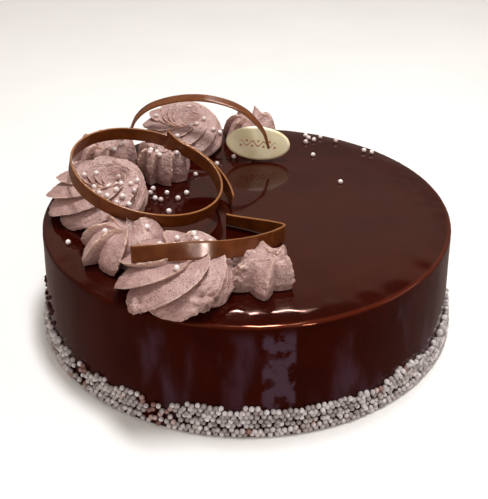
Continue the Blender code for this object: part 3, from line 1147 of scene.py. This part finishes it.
@dataclass
class PipedCream:
    """Turns a swirl into a fine mesh with sharp crests, streaks and torn skin."""

    cream: Material
    base: float = CAKE_TOP + CREAM_NODES_GAP
    valley: float = 0.17
    outer_levels: int = 60
    inner_levels: int = 30
    ridge_steps: int = 30
    crowding: float = 0.65
    fold: float = 0.45
    drawn_foot: float = 0.07
    lip: float = 0.05
    lip_spans: tuple = (0.03, 0.06)
    # The pale crest lines: partly dried edges, partly a painted highlight.
    crest_highlight_width: float = 0.032
    crest_highlight_strength: float = 0.95
    streaks: int = 4
    streak_depth: float = 0.008
    coil_depth: float = 2.4
    coarse: float = 0.26
    fine: float = 0.13
    gap: float = 0.15
    overcut: float = 0.5
    torn_curl: float = 6.5
    torn_flake: float = 4.0
    torn_crumb: float = 0.8
    outer_way: float = 6.0 / 9.0
    inner_way: float = 3.0 / 9.0

    def ridge_step(self, number: int) -> float:
        """Return a place between two ridges, where points crowd towards the crests."""
        share = number / self.ridge_steps
        return share - self.crowding * math.sin(math.tau * share) / math.tau

    def ridge_wave(self, step: float, folded: bool) -> float:
        """Return 1 on a ridge and 0 in the valley beside it, with a thin lip at the crest."""
        if folded:
            if step < self.fold:
                return abs(1.0 - step / self.fold)
            return ((step - self.fold) / (1.0 - self.fold)) ** 1.15
        after, before = self.lip_spans
        lip = self.lip * (math.exp(-step / after) + math.exp((step - 1.0) / before))
        if step < self.valley:
            return (1.0 - step / self.valley) ** 1.5 + lip
        return ((step - self.valley) / (1.0 - self.valley)) ** 0.72 + lip

    def outline(self, swirl: Swirl, way: float) -> tuple[float, float, float]:
        """Return the radius share, the height share and the nearness to the rim.

        Args:
            swirl: The piece.
            way: How far up and over the piece, from 0 at the foot to 1 in the middle.

        Returns:
            The three shares, each from 0 to 1.
        """
        if way <= self.outer_way:
            angle = math.radians(90.0) * way / self.outer_way
            foot = 1.0 - self.drawn_foot + self.drawn_foot * ease(way / 0.12)
            share = swirl.rim + (1.0 - swirl.rim) * math.cos(angle) ** swirl.swell
            return share * foot, math.sin(angle), math.sin(angle) ** 4
        inward = (way - self.outer_way) / (1.0 - self.outer_way)
        sunk = swirl.hollow / swirl.height * math.sin(math.radians(90.0) * inward)
        return swirl.rim * (1.0 - inward), 1.0 - sunk, 1.0 - ease(inward)

    def ways(self) -> list[float]:
        """Return the levels, evenly spread outside and inside the rim."""
        outer, inner = self.outer_levels, self.inner_levels
        ways = [self.outer_way * step / outer for step in range(outer)]
        ways.extend(self.outer_way + self.inner_way * step / inner for step in range(inner))
        return ways

    def ring(self, swirl: Swirl, way: float, lobes: Sequence[float], grow: float) -> list[Vector]:
        """Return the points of one level, beside the swirl's centre.

        Args:
            swirl: The piece.
            way: How far up and over the piece.
            lobes: A small difference in reach for each ridge.
            grow: How far the outline is widened.

        Returns:
            The points in order round the piece.
        """
        share, rise, near_rim = self.outline(swirl, way)
        inward = max(0.0, (way - self.outer_way) * 3.0)
        coil_relief = self.coil_depth * math.sin(math.pi * min(1.0, inward * 1.1))
        points = []
        for ridge in range(swirl.ridges):
            for number in range(self.ridge_steps):
                step = self.ridge_step(number)
                wave = self.ridge_wave(step, swirl.folded)
                blend = ease(step)
                lobe = lobes[ridge] * (1.0 - blend) + lobes[(ridge + 1) % swirl.ridges] * blend
                local = 360.0 * (ridge + step) / swirl.ridges + swirl.coil * inward
                angle = math.radians(local + swirl.turn + swirl.twist * way)
                away = max(0.0, math.cos(angle - math.radians(swirl.reach_way)))
                stretch = 1.0 + swirl.reach * away * (1.0 - rise)
                groove = 1.25 * swirl.depth * (1.0 - 0.3 * near_rim) * (1.0 - wave)
                groove += self.streak_depth * math.cos(math.tau * self.streaks * step) * wave
                radius = swirl.radius * share * (1.0 - groove + 0.03 * lobe) * stretch + grow
                x = radius * math.cos(angle) + swirl.tip[0] * way**1.5
                y = radius * math.sin(angle) + swirl.tip[1] * way**1.5
                peak = swirl.peak * (1.0 + 0.5 * lobe) * (wave**2.5 - 0.35) * near_rim
                peak += coil_relief * (wave - 0.6) * (swirl.coil > 0.0)
                level = swirl.height * rise + peak + swirl.tilt * y * rise + grow * way
                points.append(Vector((x, y, level)))
        return points

    def raggedness(self, swirl: Swirl, beside: Vector) -> float:
        """Return how torn the skin is at a place beside the swirl's centre, from 0 to 1."""
        most = 0.0
        for x, y, z, radius in swirl.torn:
            off = (beside - Vector((x, y, z))).length
            most = max(most, 1.0 - ease(off / radius))
        return most

    def tear(self, point: Vector, outward: Vector, step: float, ragged: float) -> Vector:
        """Roughen one point of the skin, most along the crests and in torn patches."""
        crest = max(0.0, 1.0 - 8.0 * min(step, 1.0 - step))
        push = self.coarse * rough(point, 3.2, 1.9) + self.fine * rough(point, 1.1, 6.4)
        push += 0.5 * crest * rough(point, 1.4, 9.2)
        curl = 0.3 - abs(rough(point, 5.5, 4.4))
        flake = 0.3 - abs(rough(point, 2.4, 7.3))
        torn = self.torn_curl * curl + self.torn_flake * flake
        torn += self.torn_crumb * rough(point, 1.2, 5.1)
        return point + outward * (push + ragged * torn)

    def shape(self, swirl: Swirl, grow: float) -> tuple[list[Vector], list[tuple]]:
        """Return the points and faces of a swirl, closed at the bottom."""
        chance = random.Random(swirl.name)
        lobes = [chance.uniform(-1.0, 1.0) for _ in range(swirl.ridges)]
        rings = [self.ring(swirl, way, lobes, grow) for way in self.ways()]
        count = len(rings[0])
        middle = Vector((swirl.tip[0], swirl.tip[1], 0.0))
        place = Vector((swirl.centre[0], swirl.centre[1], self.base))
        points = []
        for level, ring in enumerate(rings):
            following = rings[min(level + 1, len(rings) - 1)]
            before = rings[max(level - 1, 0)]
            for number, point in enumerate(ring):
                along = ring[(number + 1) % count] - ring[number - 1]
                up = following[number] - before[number]
                outward = along.cross(up).normalized()
                step = self.ridge_step(number % self.ridge_steps)
                ragged = self.raggedness(swirl, point)
                torn = self.tear(point + place, outward, step, ragged)
                torn.z = max(torn.z, self.base)
                if level == 0:
                    torn.z = self.base
                points.append(torn)
        sunk = swirl.height - swirl.hollow + swirl.tilt * swirl.tip[1] + grow
        top = place + middle + Vector((0.0, 0.0, sunk))
        points.append(top)
        faces = []
        for level in range(len(rings) - 1):
            lower = level * count
            upper = lower + count
            for number, after in rounds(count):
                faces.append((lower + number, lower + after, upper + number))
                faces.append((lower + after, upper + after, upper + number))
        last = (len(rings) - 1) * count
        for number, after in rounds(count):
            faces.append((last + number, last + after, len(points) - 1))
        faces.append(tuple(reversed(range(count))))
        return points, faces

    def crest_highlight_share(self, number: int, level: int, rings: int) -> float:
        """Return how much of the pale crest colour a point gets: partly dried edge, partly painted
        highlight.
        """
        step = self.ridge_step(number % self.ridge_steps)
        off = min(step, 1.0 - step)
        return self.crest_highlight_strength * math.exp(-off / self.crest_highlight_width) * ease(2.0 * level / rings)

    def build(self, swirl: Swirl) -> Piece:
        """Make the piece that stands for the swirl's solid."""
        points, faces = self.shape(swirl, 0.0)
        name = "piped_" + swirl.name
        piece = piece_from(name, points, faces, self.cream, Slot.CREAM, (swirl.node,))
        around = swirl.ridges * self.ridge_steps
        rings = (len(points) - 1) // around
        # Pale crest shares, partly dried edges and partly a painted highlight.
        crests = [
            self.crest_highlight_share(index % around, index // around, rings)
            for index in range(len(points) - 1)
        ]
        note(piece, "crest", [*crests, 0.0])
        return piece

    def press(self, piece: Piece, neighbour: Swirl) -> None:
        """Press a piece back where its neighbour was piped against it."""
        points, faces = self.shape(neighbour, self.gap)
        for point in points:
            if point.z <= self.base:
                point.z -= self.overcut
        cutter = new_object("neighbour", new_mesh("neighbour", points, faces))
        cut(piece, cutter)
        bpy.data.objects.remove(cutter)


def places_on(piece: Piece, swirl: Swirl, sunk: float) -> list[Vector]:
    """Return the places of a swirl's pearls, found straight below each offset.

    Args:
        piece: The finished cream.
        swirl: The piece's description.
        sunk: How far a pearl's middle stands off the skin.

    Returns:
        The pearls' middles in millimetres.
    """
    vertices = [vertex.co for vertex in piece.data.vertices]
    tree = BVHTree.FromPolygons(vertices, [face.vertices for face in piece.data.polygons])
    places = []
    for x, y in swirl.pearls:
        start = Vector((swirl.centre[0] + x, swirl.centre[1] + y, 2.0 * CAKE_TOP)) * MM
        hit = tree.ray_cast(start, Vector((0.0, 0.0, -1.0)))
        if hit[0] is not None:
            places.append(hit[0] / MM + hit[1] * sunk)
    return places


# Ribbons


@dataclass
class Ribbon:
    """A strip of chocolate spanned between two rails, with softened edges."""

    name: str
    chocolate: Material
    thickness: float = 1.1
    softness: float = 0.3
    corner_steps: int = 3
    width_steps: int = 6

    def rails(self) -> list[tuple[Vector, Vector]]:
        """Return the two edges of the strip, pair by pair along it."""
        raise NotImplementedError

    def section(self, width: float, thickness: float) -> list[tuple[float, float, float]]:
        """Return the strip's cross-section.

        Args:
            width: The strip's width there.
            thickness: Its thickness.

        Returns:
            Points as width place, thickness place and share of cut edge, which gets the paler
            edge colour, partly a painted highlight.
        """
        soft = min(self.softness, width * 0.3)
        half_width = width / 2.0 - soft
        half_thickness = thickness / 2.0 - soft
        points = []
        corners = ((1, 1, 0), (-1, 1, 90), (-1, -1, 180), (1, -1, 270))
        for across, over, start in corners:
            for step in range(self.corner_steps + 1):
                angle = math.radians(start + 90.0 * step / self.corner_steps)
                x = across * half_width + soft * math.cos(angle)
                y = over * half_thickness + soft * math.sin(angle)
                points.append((x, y, abs(math.cos(angle)) ** 2))
            if over == across:
                for step in range(1, self.width_steps):
                    share = 1.0 - 2.0 * step / self.width_steps
                    points.append((across * half_width * share, over * (half_thickness + soft), 0.0))
        return points

    def shape(self, grow: float) -> tuple[list[Vector], list[tuple], list[float]]:
        """Sweep the section between the rails, widened by `grow` on all sides."""
        rails = self.rails()
        middles = [(low + high) / 2.0 for low, high in rails]
        points = []
        edges = []
        for index, (low, high) in enumerate(rails):
            before = middles[max(index - 1, 0)]
            after = middles[min(index + 1, len(middles) - 1)]
            along = (after - before).normalized()
            span = high - low
            across = (span - along * span.dot(along)).normalized()
            outward = along.cross(across).normalized()
            slant = along * span.dot(along) / max(span.length, 0.01)
            width = span.dot(across) + 2.0 * grow
            middle = middles[index]
            if index == 0:
                middle = middle - along * grow
            if index == len(rails) - 1:
                middle = middle + along * grow
            for x, y, cut_edge_and_highlight in self.section(width, self.thickness + 2.0 * grow):
                points.append(middle + (across + slant) * x + outward * y)
                edges.append(cut_edge_and_highlight)
        count = len(points) // len(rails)
        faces = []
        for index in range(len(rails) - 1):
            start = index * count
            end = start + count
            for number, after in rounds(count):
                faces.append((start + number, start + after, end + after))
                faces.append((start + number, end + after, end + number))
        last = (len(rails) - 1) * count
        faces.append(tuple(reversed(range(count))))
        faces.append(tuple(last + number for number in range(count)))
        return points, faces, edges

    def build(self) -> Piece:
        """Make the ribbon with its paler trimmed edges, which are also a painted highlight."""
        points, faces, edges = self.shape(0.0)
        name = "curled_" + self.name
        replaced = ("ribbon_" + self.name,)
        piece = piece_from(name, points, faces, self.chocolate, Slot.MILK_CHOCOLATE, replaced)
        # The edge shares carry the paler edge colour, partly a painted highlight.
        note(piece, "edge", edges)
        return piece

    def cutter(self, gap: float) -> Piece:
        """Make the groove that the ribbon presses into the cream."""
        points, faces, _ = self.shape(gap)
        return new_object("groove", new_mesh("groove", points, faces))


@dataclass
class RingRibbon(Ribbon):
    """The tilted ring, wound once and a quarter, from its end on the glaze."""

    centre: tuple = (-48.1, -2.3)
    radius: float = 36.4
    end_turn: float = 441.0
    turn_step: float = 3.0
    slope: tuple = (-0.25, 0.10)
    level: float = 59.0
    width: float = 7.2
    upward: tuple = (0.25, -0.2, 1.0)
    draw_in: float = 2.4
    draw_in_turns: tuple = (250.0, 150.0)
    flare: float = 3.6
    flare_turn: float = 40.0
    sag: float = 4.3
    sag_turn: float = 60.0
    flick: float = 4.0
    flick_turn: float = 14.0

    def rails(self) -> list[tuple[Vector, Vector]]:
        """Return the lower and upper edges."""
        upward = Vector(self.upward).normalized()
        pairs = []
        for step in range(round(self.end_turn / self.turn_step) + 1):
            turn = self.turn_step * step
            angle = math.radians(turn)
            inward = self.draw_in * fade(turn, *self.draw_in_turns)
            outward = self.flare * math.exp(-turn / self.flare_turn)
            radius = self.radius + outward - inward
            x = self.centre[0] + radius * math.cos(angle)
            y = self.centre[1] + radius * math.sin(angle)
            drop = self.sag * math.exp(-((turn / self.sag_turn) ** 2))
            low = Vector((x, y, self.level + self.slope[0] * x + self.slope[1] * y - drop))
            late = max(0.0, (turn - self.end_turn + self.flick_turn) / self.flick_turn)
            tip = self.flick * late**1.6
            pairs.append((low, low + upward * (self.width + tip)))
        return pairs


@dataclass
class ArchRibbon(Ribbon):
    """The arch over the back rosette, which tapers to a point at the plaque."""

    width: float = 6.2
    steps: int = 8
    taper: float = 0.8
    turn_over: float = 0.75
    slant: float = 0.17
    route: tuple = (
        (-68.0, 66.0, 57.0), (-64.5, 65.4, 67.5), (-60.2, 64.7, 76.2), (-52.5, 63.2, 82.9),
        (-41.2, 61.0, 87.4), (-30.2, 58.8, 89.6), (-19.4, 56.5, 89.8), (-8.8, 54.3, 87.8),
        (-0.8, 51.5, 84.6), (5.3, 49.0, 79.5), (9.6, 47.6, 73.6), (12.0, 46.7, 65.4),
    )

    def rails(self) -> list[tuple[Vector, Vector]]:
        """Return the near and far edges."""
        route = smooth_route([Vector(point) for point in self.route], self.steps)
        pairs = []
        for index, middle in enumerate(route):
            way = index / (len(route) - 1)
            share = 1.0 - self.taper * fade(way, 0.5, 0.5) ** 2
            across = Vector((self.turn_over * fade(way, 0.6, 0.4), 1.0, self.slant)).normalized()
            half = across * (self.width * 0.5 * share)
            pairs.append((middle - half, middle + half))
        return pairs


@dataclass
class HookRibbon(Ribbon):
    """The front ribbon, which folds back on itself and lies over the cream.

    It starts with a lean and changes it on the way: each change has the place where it
    starts, the stretch that it takes and its amount.
    """

    width: float = 8.0
    steps: int = 10
    first_lean: float = -0.45
    lean_changes: tuple = ((0.0, 0.35, 0.45), (0.4, 0.25, 0.3), (0.8, 0.2, -0.25))
    route: tuple = (
        (-9.7, -19.5, 56.4), (-1.0, -23.4, 56.4), (7.5, -28.0, 56.6), (14.0, -32.5, 57.0),
        (17.0, -36.0, 57.6), (15.5, -40.5, 58.6), (10.2, -50.0, 61.2), (1.3, -63.0, 66.0),
        (-11.2, -72.8, 70.0), (-23.4, -76.7, 72.0), (-35.5, -78.3, 72.2), (-47.0, -79.2, 72.0),
    )

    def rails(self) -> list[tuple[Vector, Vector]]:
        """Return the lower and upper edges."""
        route = smooth_route([Vector(point) for point in self.route], self.steps)
        pairs = []
        for index, low in enumerate(route):
            way = index / (len(route) - 1)
            lean = self.first_lean
            for start, over, change in self.lean_changes:
                lean += change * fade(way, start, over)
            upward = Vector((0.0, lean, 1.0)).normalized()
            pairs.append((low, low + upward * self.width))
        return pairs


# Plaque


@dataclass
class Plaque:
    """The oval plaque, which stands on its edge, leans back and is slightly rolled."""

    chocolate: Material
    print_colour: Material
    width: float = 35.0
    height: float = 18.5
    thickness: float = 3.0
    lean: float = 12.0
    roll: float = -5.0
    foot: tuple = (6.3, 50.8, 56.8)
    around: int = 96
    edge_steps: int = 12
    edge_rounding: float = 0.085
    print_lift: float = 0.03
    print_steps: int = 120
    bends: float = 3.5
    swing: float = 1.3
    dot: float = 0.7
    dot_points: int = 14

    def placed(self, point: Vector) -> Vector:
        """Move a point of the flat plaque to where it stands."""
        lean = math.radians(self.lean)
        tilt = Matrix.Rotation(math.radians(90.0) - lean, 3, "X")
        roll = Matrix.Rotation(math.radians(self.roll), 3, "Z")
        middle = Vector((0.0, math.sin(lean), math.cos(lean))) * self.height / 2.0
        return tilt @ (roll @ point) + Vector(self.foot) + middle

    def build(self) -> list[Piece]:
        """Cast the plaque and print a plain garland of dots on its face."""
        profile = []
        for step in range(self.edge_steps + 1):
            angle = math.radians(-90.0 + 180.0 * step / self.edge_steps)
            share = 1.0 - self.edge_rounding * (1.0 - math.cos(angle))
            profile.append((share, math.sin(angle) * 0.5))
        points = [self.placed(Vector((0.0, 0.0, -0.5 * self.thickness)))]
        for share, level in profile:
            for number in range(self.around):
                angle = math.tau * number / self.around
                x = 0.5 * self.width * share * math.cos(angle)
                y = 0.5 * self.height * (1.0 - 1.9 * (1.0 - share)) * math.sin(angle)
                points.append(self.placed(Vector((x, y, level * self.thickness))))
        points.append(self.placed(Vector((0.0, 0.0, 0.5 * self.thickness))))
        faces = []
        for number, after in rounds(self.around):
            faces.append((0, 1 + after, 1 + number))
            for ring in range(len(profile) - 1):
                low = 1 + ring * self.around
                high = low + self.around
                faces.append((low + number, low + after, high + after, high + number))
            top = 1 + (len(profile) - 1) * self.around
            faces.append((top + number, top + after, len(points) - 1))
        slot = Slot.WHITE_CHOCOLATE
        cast = piece_from("cast_plaque", points, faces, self.chocolate, slot, ("plaque",))
        return [cast, self.garland()]

    def garland(self) -> Piece:
        """Print a plain wavy line with a dot in each bend, as a generic ornament."""
        lift = 0.5 * self.thickness + self.print_lift
        half_length = 0.31 * self.width
        points = []
        faces = []
        for step in range(self.print_steps + 1):
            share = step / self.print_steps
            x = half_length * (2.0 * share - 1.0)
            y = self.swing * math.sin(math.tau * self.bends * share)
            thick = 0.42 * math.sin(math.pi * (0.06 + 0.88 * share))
            points.append(self.placed(Vector((x, y - thick, lift))))
            points.append(self.placed(Vector((x, y + thick, lift))))
            if step:
                last = 2 * step
                faces.append((last - 2, last, last + 1, last - 1))
        for number in range(int(2 * self.bends)):
            share = (number + 0.5) / (2.0 * self.bends)
            x = half_length * (2.0 * share - 1.0)
            y = -1.1 * self.swing * (1 if number % 2 == 0 else -1)
            start = len(points)
            for step in range(self.dot_points):
                angle = math.tau * step / self.dot_points
                across = self.dot * math.cos(angle)
                up = self.dot * math.sin(angle)
                points.append(self.placed(Vector((x + across, y + up, lift))))
            faces.append(tuple(range(start, start + self.dot_points)))
        return piece_from("plaque_print", points, faces, self.print_colour, Slot.WHITE_CHOCOLATE)


# Studio


@dataclass
class Studio:
    """A pale floor, the room that the glaze mirrors, its lamps and the camera.

    The room's shades go from the ground up to the zenith. A lamp is given by its name, its
    place and size in metres, its radiance and whether it only shows in reflections.
    """

    floor_shades: tuple = ("#EEEDEB", "#F2F1EF")
    floor_half: float = 4.0
    floor_roughness: float = 0.9
    camera_place: tuple = (-1.3, -367.03, 254.23)
    camera_pitch: float = 31.4
    lens: float = 60.46
    room: tuple = (
        (0.0, "#80706A"), (0.05, "#968880"), (0.4, "#968880"), (0.5, "#D6C2B2"),
        (0.6, "#D6C2B2"), (0.68, "#7C7672"), (0.88, "#7C7672"), (1.0, "#F2F1EF"),
    )
    lamps: tuple = (
        ("overhead", (0.085, 0.05, 1.0), (0.31, 0.14), 60.0, False),
        ("left_window", (-0.6, -0.9, 0.75), (0.5, 0.4), 2.6, False),
        ("right_window", (0.45, -1.0, 0.8), (0.4, 0.4), 2.4, False),
        ("right_wall", (1.0, -0.1, 0.5), (0.5, 0.5), 2.2, False),
        ("ceiling_strip", (0.085, 0.05, 1.01), (0.31, 0.07), 240.0, True),
        ("far_lamp_left", (0.0, 0.88, 0.95), (0.065, 0.035), 120.0, True),
        ("far_lamp_right", (0.115, 0.88, 0.95), (0.09, 0.022), 100.0, True),
        ("front_lamp", (0.5, -0.92, 0.12), (0.09, 0.12), 150.0, True),
    )
    aim: tuple = (0.0, 0.0, 0.05)

    def floor(self) -> None:
        """Lay a large plain floor, which is left out of the cake's dark reflections."""
        material, tree, place = new_material("matt_white_card")
        darker, lighter = self.floor_shades
        cloud = add_node(tree, "TexNoise", {"Vector": place, "Scale": spaced(90.0), "Detail": 2.0})
        tone = add_node(
            tree, "ValToRGB", {"Fac": cloud.outputs["Fac"]}, ((0.3, darker), (0.7, lighter))
        )
        feed(tree, tree.nodes["Principled BSDF"], {
            "Base Color": tone.outputs["Color"],
            "Roughness": self.floor_roughness,
        })
        mesh = bpy.data.meshes.new("floor")
        half = self.floor_half
        corners = [(-half, -half, 0.0), (half, -half, 0.0), (half, half, 0.0), (-half, half, 0.0)]
        mesh.from_pydata(corners, [], [(0, 1, 2, 3)])
        mesh.materials.append(material)
        obj = new_object("floor", mesh)
        obj.visible_glossy = False

    def softbox(
        self, name: str, place: tuple, size: tuple, radiance: float, only_gloss: bool
    ) -> None:
        """Hang a rectangular soft light that faces the cake.

        Args:
            name: The light's name.
            place: Where it hangs, in metres.
            size: Its width and depth in metres.
            radiance: How bright its face is; a white wall in this studio is about 1.
            only_gloss: Whether it shows in reflections and lights nothing else.
        """
        light = bpy.data.lights.new(name, "AREA")
        light.shape = "RECTANGLE"
        light.size, light.size_y = size
        light.energy = radiance * math.pi * size[0] * size[1]
        obj = new_object(name, light)
        obj.location = place
        obj.visible_diffuse = not only_gloss
        way = Vector(self.aim) - Vector(place)
        obj.rotation_euler = way.to_track_quat("-Z", "Y").to_euler()

    def light(self) -> None:
        """Light the set from overhead and from both sides, and give the glaze its highlights."""
        world = bpy.data.worlds.new("studio")
        world.use_nodes = True
        bpy.context.scene.world = world
        tree = world.node_tree
        way = add_node(tree, "TexCoord", {}).outputs["Generated"]
        height = add_node(tree, "SeparateXYZ", {0: way}).outputs["Z"]
        shade = add_node(tree, "ValToRGB", {"Fac": height}, self.room).outputs["Color"]
        feed(tree, tree.nodes["Background"], {"Color": shade, "Strength": 1.0})
        for lamp in self.lamps:
            self.softbox(*lamp)

    def camera(self) -> None:
        """Stand where the photograph was taken."""
        data = bpy.data.cameras.new("camera")
        data.sensor_width = 36.0
        data.lens = self.lens
        data.clip_start = 0.01
        obj = new_object("camera", data)
        obj.location = Vector(self.camera_place) * MM
        obj.rotation_euler = (math.radians(90.0 - self.camera_pitch), 0.0, 0.0)
        bpy.context.scene.camera = obj

    def build(self) -> None:
        """Set up everything round the cake."""
        self.floor()
        self.light()
        self.camera()
        bpy.context.scene.view_settings.view_transform = "Standard"


# Assembly

# Pearls that lie on the glaze
LOOSE_PEARLS = (
    (34.5, 84), (36, 80.5), (34, 75), (39, 78), (43, 82), (51.5, 76.5), (66, 63.5), (70, 61),
    (37, 57.5), (49, 24.5), (-16, 46), (-7, 55), (-27, 33), (-48, 16.5), (-49, 12), (-46, 6),
    (-43, 4.5), (-40.5, 12), (-34.5, 6), (-30.5, 12), (-38, -7.5), (-82, -37),
)


@dataclass
class Cake:
    """The whole dressed cake."""

    loose_pearl: float = 1.35
    loose_smoothness: int = 3
    pearl_sunk: float = 0.6
    seed: int = 5

    def ribbons(self) -> list[Ribbon]:
        """Return the three ribbons."""
        chocolate = TemperedChocolate().build()
        return [
            RingRibbon("ring", chocolate),
            ArchRibbon("arch", chocolate),
            HookRibbon("hook", chocolate),
        ]

    def creams(self, ribbons: Sequence[Ribbon]) -> list[Vector]:
        """Pipe the cream, press it back from its neighbours and find its pearls' places.

        Args:
            ribbons: The ribbons that press into it.

        Returns:
            The middles of the pearls that lie on the cream.
        """
        nozzle = PipedCream(WhippedCream().build())
        grooves = [ribbon.cutter(nozzle.gap) for ribbon in ribbons]
        by_name = {swirl.name: swirl for swirl in SWIRLS}
        places = []
        for swirl in SWIRLS:
            piece = nozzle.build(swirl)
            for neighbour in GIVES_WAY.get(swirl.name, ()):
                nozzle.press(piece, by_name[neighbour])
            for groove in grooves:
                cut(piece, groove)
            places.extend(places_on(piece, swirl, self.loose_pearl * self.pearl_sunk))
        for groove in grooves:
            bpy.data.objects.remove(groove)
        return places

    def build(self) -> None:
        """Build every piece in order."""
        glaze = MirrorGlaze().build()
        body = GlazedBody(glaze)
        body.build()
        ribbons = self.ribbons()
        for ribbon in ribbons:
            ribbon.build()
        on_cream = self.creams(ribbons)
        Plaque(WhiteChocolate().build(), PrintedCocoa().build()).build()
        # The band's unstained pearls get the darker coat, a painted shade.
        clean = PolishedSugar(PearlCoat.CLEAN).build()
        stained = PolishedSugar(PearlCoat.STAINED).build()
        PearlBand(body, clean, stained).build()
        GlazedCrumbs(body, glaze).build()
        level = CAKE_TOP + self.loose_pearl * self.pearl_sunk
        on_glaze = [Vector((x, y, level)) for x, y in LOOSE_PEARLS]
        chance = random.Random(self.seed)
        # The loose pearls get the lighter coat, painted as lit.
        lit_sugar = PolishedSugar(PearlCoat.LIT).build()
        for name, places in (("pearls_on_glaze", on_glaze), ("pearls_on_cream", on_cream)):
            heap = PearlHeap(name, lit_sugar, self.loose_pearl, self.loose_smoothness)
            heap.build(places, chance)


def main() -> None:
    """Build the set."""
    logging.basicConfig(level=logging.INFO, format="%(message)s")
    Studio().build()
    Cake().build()


if __name__ == "__main__":
    main()
